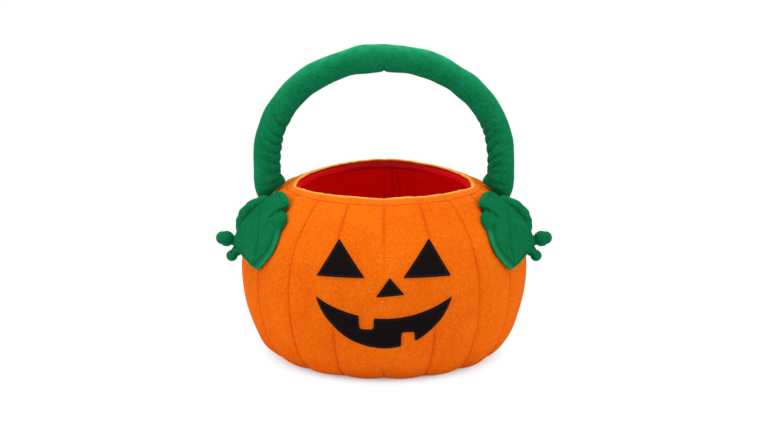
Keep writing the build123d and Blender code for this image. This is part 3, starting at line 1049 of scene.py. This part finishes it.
def leaf_points(sizes, flat, height):
    """Left leaf: flat pattern points laid over the shoulder's bend, a height above it.

    Its outer edge lifts away from the pail and its rim curls a little.
    """
    arc, _, rim = shoulder_arc(sizes)
    lean = LEAF_PLACE * rim
    bend = arc + LEAF_GAP
    origin = over_shoulder(sizes, LEAF_AZIMUTH, LEAF_PLACE, LEAF_GAP)
    face, side = cos(LEAF_AZIMUTH), sin(LEAF_AZIMUTH)
    across = np.array([face, -side, 0])
    normal = np.array([-cos(lean) * side, -cos(lean) * face, sin(lean)])
    up = np.cross(normal, across)
    lift = 4.0 * MM * np.clip((-flat[..., 0] - 12 * MM) / (30 * MM), 0, 1.2) ** 2
    lift = lift + 1.2 * MM * np.clip((-8 * MM - flat[..., 1]) / (18 * MM), 0, 1.2) ** 2
    lift = lift + 1.6 * MM * bell(line_distance(flat, LEAF_TAB), 7 * MM)
    curl = bend + height + lift
    sag = np.sqrt(np.maximum(curl**2 - flat[..., 1] ** 2, 0)) - bend
    return origin + flat[..., :1] * across + flat[..., 1:] * up + sag[..., None] * normal


def leaf_shell(sizes, part):
    """Closed leaf layer: rings from its middle to its outline and back on the other face.

    The front is puffed to its edge, with a sunk midrib, a stitched rim, a tuck, a knob and a
    dimple. The back is a thin ply, and the batting a smaller puff between them.
    """
    outline = rounded_polygon(np.array(LEAF_OUTLINE) * MM, LEAF_CORNER, 14)
    middle = np.array(LEAF_MIDDLE) * MM
    share = 1 - (1 - np.linspace(0.015, 1, 60)) ** 1.5
    flat = middle + share[:, None, None] * (outline - middle)[None]
    edge = (1 - share)[:, None] * np.linalg.norm(outline - middle, axis=1)[None]
    puff = np.sqrt(np.clip(1 - np.clip(1 - edge / (10 * MM), 0, 1) ** 2.4, 0, 1))
    level = np.ones_like(puff)
    rib = line_distance(flat, LEAF_MIDRIB)
    tuck = bell(line_distance(flat, LEAF_TUCK), 1.6 * MM)
    knob = bell(line_distance(flat, LEAF_KNOB), 4 * MM)
    dimple = bell(line_distance(flat, LEAF_DIMPLE), 1.3 * MM)
    rim = bell(edge - 3.4 * MM, 0.8 * MM)
    lower = ramp(flat[..., 0] - flat[..., 1] + 8 * MM, 14 * MM)
    # Painted shade in the midrib, the tuck, the dimple and the rim groove on the lower side, and a
    # painted highlight along the lower edge
    sewn = np.maximum(0.35 * rim * lower, 0.7 * tuck + 0.8 * dimple)
    marks = {
        "seam": np.maximum(0.5 * fade(rib, 0.7 * MM), sewn),
        "fringe": 0.7 * fade(edge, 0.8 * MM) * lower,
    }
    if part == "front":
        soft = 0.55 * MM * soft_waves(flat[..., 0], flat[..., 1], 24 * MM, seed=91)
        soft = soft + 0.25 * MM * soft_waves(flat[..., 0], flat[..., 1], 9 * MM, seed=92)
        low = FRONT_UNDER * level
        high = low + FRONT_EDGE + (sizes.leaf_puff - FRONT_EDGE) * puff
        high = high - 1.1 * MM * fade(rib, 1.6 * MM) * puff - 0.9 * MM * rim
        high = high - 1.3 * MM * tuck * puff + 1.8 * MM * knob - 1.1 * MM * dimple * puff
        high = high + soft * puff
        high[-1] = low[-1] + 0.3 * MM
    elif part == "back":
        high = BACK_TOP * level
        low = BACK_UNDER * level
        low[-1] = 1.0 * MM
    else:
        flat = middle + BATTING_SHARE * (flat - middle)
        low = BATTING_UNDER * level
        high = low + 0.2 * MM + (sizes.leaf_puff - 2.8 * MM) * puff
    points = [leaf_points(sizes, flat, high), leaf_points(sizes, flat, low)[::-1]]
    marks = {key: np.concatenate([value, 0 * value]) for key, value in marks.items()}
    return np.concatenate(points), np.concatenate([flat, flat[::-1]]), marks


class PAIL_OT_leaves(bpy.types.Operator):
    """Padded leaves at the feet of the handle"""

    bl_idname = "pail.leaves"
    bl_label = "Leaves"

    def execute(self, context):
        sizes = context.scene.pail_sizes
        layers = (("front", "leaf_plush"), ("back", "leaf_plush"), ("batting", "stuffing"))
        for part, slot in layers:
            add_pair("leaf", part, leaf_shell(sizes, part), 1, slot, "leaf_{}")
        return {"FINISHED"}


def arc_through(first, middle, last, count):
    """Points along the circular arc through three points."""
    a, b = middle - first, last - first
    normal = np.cross(a, b)
    across = np.cross(normal, a) * (b @ b) + np.cross(b, normal) * (a @ a)
    centre = first + across / (2 * (normal @ normal))
    radius = np.linalg.norm(first - centre)
    x = (first - centre) / radius
    y = np.cross(normal / np.linalg.norm(normal), x)
    sweep = np.arctan2((last - centre) @ y, (last - centre) @ x) % (2 * pi)
    turn = np.linspace(0, sweep, count)[:, None]
    return centre + radius * (np.cos(turn) * x + np.sin(turn) * y)


def tube_shape(line, radius, reference):
    """Tube along a line of points: rings square to it, closed round at both ends.

    radius is an array (rings, around) and reference a direction the line never follows.
    """
    along = np.gradient(line, axis=0)
    along = along / np.linalg.norm(along, axis=1)[:, None]
    first = np.cross(along, reference)
    first = first / np.linalg.norm(first, axis=1)[:, None]
    second = np.cross(along, first)
    around = full_turn(radius.shape[1])[None, :]
    ring = np.cos(around)[..., None] * first[:, None] + np.sin(around)[..., None] * second[:, None]
    tube = line[:, None] + radius[..., None] * ring
    dip = np.linspace(0.985, 0, 10, endpoint=False)[:, None]
    ends = []
    for spot, direction in ((0, -1), (-1, 1)):
        reach = radius[spot][None] * np.sqrt(1 - dip**2)
        cap = line[spot] + reach[..., None] * ring[spot][None]
        ends.append(cap + direction * dip[..., None] * radius[spot].mean() * along[spot])
    points = np.concatenate([ends[0], tube, ends[1][::-1]])
    steps = np.concatenate([[[0, 0, 0]], np.diff(points.mean(1), axis=0)])
    run = np.cumsum(np.linalg.norm(steps, axis=1))[:, None]
    return points, stacked(radius.mean() * around, run), None


# Tendrils: azimuths from the face, seats and reaches off the shoulder, and points along them
LOOP_AZIMUTHS = (radians(76), radians(83), radians(88))
KNOT_AZIMUTH = radians(87)
TAIL_AZIMUTH = radians(86)
VINE_SEAT = 0.3 * MM
LOOP_RISE = 10 * MM
LOOP_RUN = 45 * MM
TAIL_RISE = 9 * MM
LOOP_COUNT = 110
STUB_COUNT = 80
# Knot: its ends above the shoulder, and the middle and radius of its ball and collar
KNOT_ENDS = (3.3 * MM, 19.5 * MM)
KNOT_BALL = (15.8 * MM, 6.9 * MM)
KNOT_COLLAR = (7.2 * MM, 5.2 * MM)
KNOT_NECK = 3.6 * MM


def vine_loop(sizes, around):
    """Loop of the vine: an arc that leaves the shoulder and comes back, creased across."""
    radius = sizes.vine_radius
    reaches = (radius + VINE_SEAT, LOOP_RISE, radius + VINE_SEAT)
    stops = zip(LOOP_AZIMUTHS, LOOP_PLACES, reaches)
    spots = [over_shoulder(sizes, turn, place, reach) for turn, place, reach in stops]
    s = np.linspace(0, LOOP_RUN, LOOP_COUNT)[:, None]
    bent = 0.5 * np.sin(2 * around) + 0.9 * np.sin(s / (6 * MM))
    crease = np.abs(np.sin(pi * s / (9 * MM) + bent))
    thick = radius + 1.1 * MM * (crease**0.6 - 0.8)
    thick = thick + 0.4 * MM * soft_waves(s, radius * np.sin(around), 12 * MM, seed=101)
    return tube_shape(arc_through(*spots, LOOP_COUNT), thick, np.array([0.2, 1.0, 0.1]))


def vine_knot(sizes, around):
    """Knotted end: a neck with a collar and a ball on it, wrapped in slanting folds."""
    share = np.linspace(0, 1, STUB_COUNT)[:, None]
    start, end = (over_shoulder(sizes, KNOT_AZIMUTH, KNOT_PLACE, reach) for reach in KNOT_ENDS)
    reach = KNOT_ENDS[0] + share * (KNOT_ENDS[1] - KNOT_ENDS[0])
    thick = KNOT_NECK
    for middle, radius in (KNOT_BALL, KNOT_COLLAR):
        thick = np.maximum(thick, np.sqrt(np.clip(radius**2 - (reach - middle) ** 2, 0, None)))
    wraps = np.abs(np.sin(2.6 * around + 22 * share)) ** 0.4
    thick = thick * (0.9 + 0.1 * wraps)
    return tube_shape(start + share * (end - start), thick, np.array([0.1, 1.0, 0.2]))


def vine_tail(sizes, around):
    """Blunt tail: a short tube with a waist and soft bumps."""
    radius = sizes.vine_radius
    share = np.linspace(0, 1, STUB_COUNT)[:, None]
    start = over_shoulder(sizes, TAIL_AZIMUTH, TAIL_PLACES[0], radius + VINE_SEAT)
    end = over_shoulder(sizes, TAIL_AZIMUTH, TAIL_PLACES[1], TAIL_RISE)
    thick = radius - 0.7 * MM * bell(share - 0.45, 0.18) + 0.1 * MM * share
    bumps = soft_waves(share * 8 * MM, radius * np.sin(around), 8 * MM, seed=111)
    thick = thick + 0.3 * MM * bumps
    return tube_shape(start + share * (end - start), thick, np.array([0.1, 1.0, 0.2]))


class PAIL_OT_vines(bpy.types.Operator):
    """Stuffed vine tendrils behind the leaves: a loop, a knotted end and a blunt tail"""

    bl_idname = "pail.vines"
    bl_label = "Vines"

    def execute(self, context):
        sizes = context.scene.pail_sizes
        around = full_turn(40)[None, :]
        for part, shape in (("loop", vine_loop), ("knot", vine_knot), ("tail", vine_tail)):
            add_pair("vine", part, shape(sizes, around), -1, "vine_plush", "pail")
        return {"FINISHED"}


# Materials

# By slot: material, colour, tuft and nap in mm, contrast, sheen, roughness, bump depth in mm,
# colour of the painted light and stitch mark, and how much of the strongest hue the painted seam
# shade keeps. Single fibres are too fine to show, so the tufts that they form are drawn
CLOTHS = {
    # Polyester minky, knitted and sheared: dense orange pile, with a painted highlight on the lip
    "orange_plush": (
        "orange_polyester_minky", "orange", 1.8, 38, 0.3, 0.12, 0.95, 0.6, "#FFB648", 0.82
    ),
    # Brushed polyester tricot: nearly smooth, with faint clouds where it was pressed
    # Its dark crimson is painted shade at the back of the facing
    "red_lining": ("red_brushed_tricot", "red", 1.5, 24, 0.3, 0.08, 0.9, 0.15, "#A60A14", 0.6),
    # Polyester velour over fill: fine green pile, with a painted highlight along the top of the
    # arch
    "green_plush": (
        "green_polyester_velour", "green", 1.8, 16, 0.6, 0.4, 0.92, 0.4, "#2CB67C", 0.5
    ),
    # The same velour on the leaves, quilted, a shade livelier, with a painted highlight on the
    # edge
    "leaf_plush": (
        "leaf_polyester_velour", "leaf", 1.4, 14, 0.45, 0.45, 0.92, 0.5, "#2FA86C", 0.6
    ),
    # The same velour on the tendrils
    "vine_plush": ("vine_polyester_velour", "green", 1.5, 10, 0.3, 0.2, 0.92, 0.4),
    # Needled polyester felt: matte black with a matted fibre grain
    "black_felt": ("black_needled_felt", "black", 1.2, 12, 0.3, 0.05, 1.0, 0.2, "#2E2628"),
    # Open-cell polyether foam, cut in sheets: pale with fine pores
    "foam": ("cut_polyether_foam", "foam", 0.9, 25, 0.1, 0.0, 1.0, 0.2),
    # Carded polyester fill: white, matted fibre
    "stuffing": ("carded_polyester_fill", "fill", 3, 18, 0.1, 0.1, 1.0, 0.6),
    # Grey-brown pressed board: dull, with flecks of fibre
    "board": ("pressed_paper_board", "board", 1.4, 9, 0.14, 0.0, 0.85, 0.05),
}
WHITE = (*linear("#FFFFFF"), 1)
CARD = (*linear("#F6F6F6"), 1)
# Shares of the tufts and the brushed patches in the tone, and where the tone is darkest and palest
TUFT_SHARE = 0.72
NAP_SHARE = 0.28
DARK_END = 0.3
PALE_END = 0.7
# The card is plain white beyond the shadow, which fades between these radii
SHADOW_NEAR = 78 * MM
SHADOW_FAR = 112 * MM


def add_node(tree, kind, inputs=None, **settings):
    """Adds a node, applies its settings and fills its inputs with values or links."""
    node = tree.nodes.new(kind)
    for key, value in settings.items():
        setattr(node, key, value)
    for key, value in (inputs or {}).items():
        if isinstance(value, bpy.types.NodeSocket):
            tree.links.new(value, node.inputs[key])
        else:
            node.inputs[key].default_value = value
    return node


def empty_tree(owner):
    """Node tree of a material or world, cleared."""
    owner.use_nodes = True
    owner.node_tree.nodes.clear()
    return owner.node_tree


def opaque(channels):
    """Channels held between 0 and 1, as RGBA."""
    return tuple(min(max(channel, 0), 1) for channel in channels) + (1,)


def brushed_tone(colour, change):
    """Colour of pile that stands open or lies deep: its weaker channels change the most."""
    top = max(colour)
    return opaque(channel * (1 + change * (1.6 - 1.1 * channel / top)) for channel in colour)


def sunk(colour, strongest):
    """Colour of painted shade in seams and creases: darker, and nearer to its strongest hue."""
    top = max(colour)
    return opaque(channel * (0.4 + (strongest - 0.4) * channel / top) for channel in colour)


def cloth(slot):
    """Cloth of a slot, made at its first use."""
    name = CLOTHS[slot][0]
    return bpy.data.materials.get(name) or pile_cloth(*CLOTHS[slot])


def pile_cloth(name, key, tuft, nap, contrast, sheen, rough, depth, light_and_stitch_colour=None, pulled=0.82):
    """Short-pile cloth.

    Tufts of a few millimetres catch light and shade, the nap is brushed in wider patches, and
    loose fibre ends give a soft sheen at the turn of the form. Seam marks are darker: painted
    shade of seams and creases, where the pile is also pulled down. The colour of the other mark
    paints a highlight on lit edges and shade at the back of the facing, and gives the felt's
    stitches.
    """
    colour = tuple(getattr(bpy.context.scene.pail_colours, key))
    material = bpy.data.materials.new(name)
    tree = empty_tree(material)
    place = add_node(tree, "ShaderNodeTexCoord").outputs["Object"]
    grain = {"Vector": place, "Scale": 1 / (tuft * MM), "Detail": 4.0, "Roughness": 0.62}
    tufts = add_node(tree, "ShaderNodeTexNoise", grain).outputs["Fac"]
    patches = {"Vector": place, "Scale": 1 / (nap * MM), "Detail": 2.0, "Distortion": 0.6}
    brushed = add_node(tree, "ShaderNodeTexNoise", patches).outputs["Fac"]
    mixed = 0.0
    for pattern, weight in ((tufts, TUFT_SHARE), (brushed, NAP_SHARE)):
        terms = {0: pattern, 1: weight, 2: mixed}
        mixed = add_node(tree, "ShaderNodeMath", terms, operation="MULTIPLY_ADD").outputs[0]
    tones = add_node(tree, "ShaderNodeValToRGB", {"Fac": mixed})
    stops = ((DARK_END, -contrast), (PALE_END, 0.8 * contrast))
    for stop, (position, change) in zip(tones.color_ramp.elements, stops):
        stop.position = position
        stop.color = brushed_tone(colour, change)
    surface = tones.outputs["Color"]
    fringe = opaque(linear(light_and_stitch_colour) if light_and_stitch_colour else colour)
    # Painted shade of seams and creases first, then the mark of painted light and stitches
    for mark, other in (("seam", sunk(colour, pulled)), ("fringe", fringe)):
        spot = add_node(tree, "ShaderNodeAttribute", attribute_name=mark)
        layers = {0: spot.outputs["Fac"], 6: surface, 7: other}
        surface = add_node(tree, "ShaderNodeMix", layers, data_type="RGBA").outputs[2]
    relief = {"Strength": 0.75, "Distance": depth * MM, "Height": tufts}
    look = {
        "Base Color": surface,
        "Roughness": rough,
        "Specular IOR Level": 0.04,
        "Sheen Weight": sheen,
        "Sheen Roughness": 0.45,
        "Sheen Tint": opaque(channel * 2.2 for channel in colour),
        "Normal": add_node(tree, "ShaderNodeBump", relief).outputs["Normal"],
    }
    shader = add_node(tree, "ShaderNodeBsdfPrincipled", look)
    add_node(tree, "ShaderNodeOutputMaterial", {"Surface": shader.outputs[0]})
    return material


def seen_ray(tree):
    """1 for camera and glossy rays, which see plain white, and 0 for the light on the object."""
    path = add_node(tree, "ShaderNodeLightPath").outputs
    rays = {0: path["Is Camera Ray"], 1: path["Is Glossy Ray"]}
    return add_node(tree, "ShaderNodeMath", rays, operation="MAXIMUM").outputs[0]


def white_card():
    """Satin white studio card: shadows stay near the object, and it is plain white beyond."""
    material = bpy.data.materials.new("satin_white_card")
    tree = empty_tree(material)
    satin = {"Base Color": CARD, "Roughness": 0.15}
    card = add_node(tree, "ShaderNodeBsdfPrincipled", satin).outputs[0]
    white = add_node(tree, "ShaderNodeEmission", {"Color": WHITE, "Strength": 1.0}).outputs[0]
    place = add_node(tree, "ShaderNodeNewGeometry").outputs["Position"]
    reach = add_node(tree, "ShaderNodeVectorMath", {0: place}, operation="LENGTH")
    span = {"Value": reach.outputs["Value"], "From Min": SHADOW_NEAR, "From Max": SHADOW_FAR}
    far = add_node(tree, "ShaderNodeMapRange", span, interpolation_type="SMOOTHSTEP").outputs[0]
    factors = {0: far, 1: seen_ray(tree)}
    share = add_node(tree, "ShaderNodeMath", factors, operation="MULTIPLY").outputs[0]
    mix = add_node(tree, "ShaderNodeMixShader", {0: share, 1: card, 2: white})
    add_node(tree, "ShaderNodeOutputMaterial", {"Surface": mix.outputs[0]})
    return material


# Stage

FLOOR_HALF = 6.0
WORLD_STRENGTH = 0.46
LAMP_AIM = (0, 0, 0.1)
# Lamps: name, place, width and power
LAMPS = (
    ("key_left", (-1.2, -0.6, 0.55), 1.5, 7.4),
    ("key_right", (1.2, -0.6, 0.5), 1.5, 7.0),
    ("top", (-0.1, -0.2, 1.6), 0.9, 11.5),
    ("back", (0.1, 1.25, 1.05), 0.9, 8.0),
)
# Camera as fitted to the outline: distance and elevation, and where its target falls in the frame
CAMERA_REACH = 1.5
CAMERA_RISE = radians(12.82)
TARGET_HEIGHT = 0.14
TARGET_ROW = 192.1
FOCAL_PIXELS = 1719
FRAME_WIDTH = 768
MIDDLE_ROW = 216
SENSOR = 36


class PAIL_OT_stage(bpy.types.Operator):
    """White floor, soft studio light and the camera"""

    bl_idname = "pail.stage"
    bl_label = "Stage"

    def execute(self, context):
        scene = context.scene
        scene.view_settings.view_transform = "Standard"
        edge = np.array([-FLOOR_HALF, FLOOR_HALF])
        mesh = grid_mesh("floor", stacked(edge[None, :], edge[:, None], 0.0))
        floor = bpy.data.objects.new("floor", mesh)
        scene.collection.objects.link(floor)
        mesh.materials.append(white_card())

        scene.world = bpy.data.worlds.new("studio")
        tree = empty_tree(scene.world)
        layers = {0: seen_ray(tree)}
        for socket, strength in ((1, WORLD_STRENGTH), (2, 1.0)):
            sky = {"Color": WHITE, "Strength": strength}
            layers[socket] = add_node(tree, "ShaderNodeBackground", sky).outputs[0]
        mix = add_node(tree, "ShaderNodeMixShader", layers)
        add_node(tree, "ShaderNodeOutputWorld", {"Surface": mix.outputs[0]})

        for name, spot, size, power in LAMPS:
            light = bpy.data.lights.new(name, "AREA")
            light.shape = "DISK"
            light.size = size
            light.energy = power
            lamp = bpy.data.objects.new(name, light)
            lamp.location = spot
            aim = Vector(LAMP_AIM) - Vector(spot)
            lamp.rotation_euler = aim.to_track_quat("-Z", "Y").to_euler()
            scene.collection.objects.link(lamp)

        lens = bpy.data.cameras.new("camera")
        lens.sensor_width = SENSOR
        lens.lens = SENSOR * FOCAL_PIXELS / FRAME_WIDTH
        camera = bpy.data.objects.new("camera", lens)
        height = TARGET_HEIGHT + CAMERA_REACH * sin(CAMERA_RISE)
        camera.location = (0, -CAMERA_REACH * cos(CAMERA_RISE), height)
        tilt = CAMERA_RISE + atan((MIDDLE_ROW - TARGET_ROW) / FOCAL_PIXELS)
        camera.rotation_euler = (pi / 2 - tilt, 0, 0)
        scene.collection.objects.link(camera)
        scene.camera = camera
        return {"FINISHED"}


# Add-on

OPERATORS = (
    PAIL_OT_gores,
    PAIL_OT_face_panel,
    PAIL_OT_rim,
    PAIL_OT_lining,
    PAIL_OT_base,
    PAIL_OT_felt_face,
    PAIL_OT_handle,
    PAIL_OT_leaves,
    PAIL_OT_vines,
    PAIL_OT_stage,
)


class PAIL_PT_panel(bpy.types.Panel):
    """Sidebar panel with the pail's steps, sizes and colours"""

    bl_idname = "PAIL_PT_panel"
    bl_label = "Plush pumpkin pail"
    bl_space_type = "VIEW_3D"
    bl_region_type = "UI"
    bl_category = "Pail"

    def draw(self, context):
        layout = self.layout
        for item in OPERATORS:
            layout.operator(item.bl_idname)
        for group in (context.scene.pail_sizes, context.scene.pail_colours):
            box = layout.box()
            for key in group.__annotations__:
                box.prop(group, key)


CLASSES = (PailSizes, PailColours, *OPERATORS, PAIL_PT_panel)


def register():
    """Registers the classes and hangs the settings on the scene."""
    for item in CLASSES:
        bpy.utils.register_class(item)
    bpy.types.Scene.pail_sizes = PointerProperty(type=PailSizes)
    bpy.types.Scene.pail_colours = PointerProperty(type=PailColours)


def unregister():
    """Takes the settings and the classes away again."""
    del bpy.types.Scene.pail_colours
    del bpy.types.Scene.pail_sizes
    for item in reversed(CLASSES):
        bpy.utils.unregister_class(item)


def main():
    """Builds every piece and the stage."""
    register()
    for item in OPERATORS:
        group, call = item.bl_idname.split(".")
        getattr(getattr(bpy.ops, group), call)()


if __name__ == "__main__":
    main()
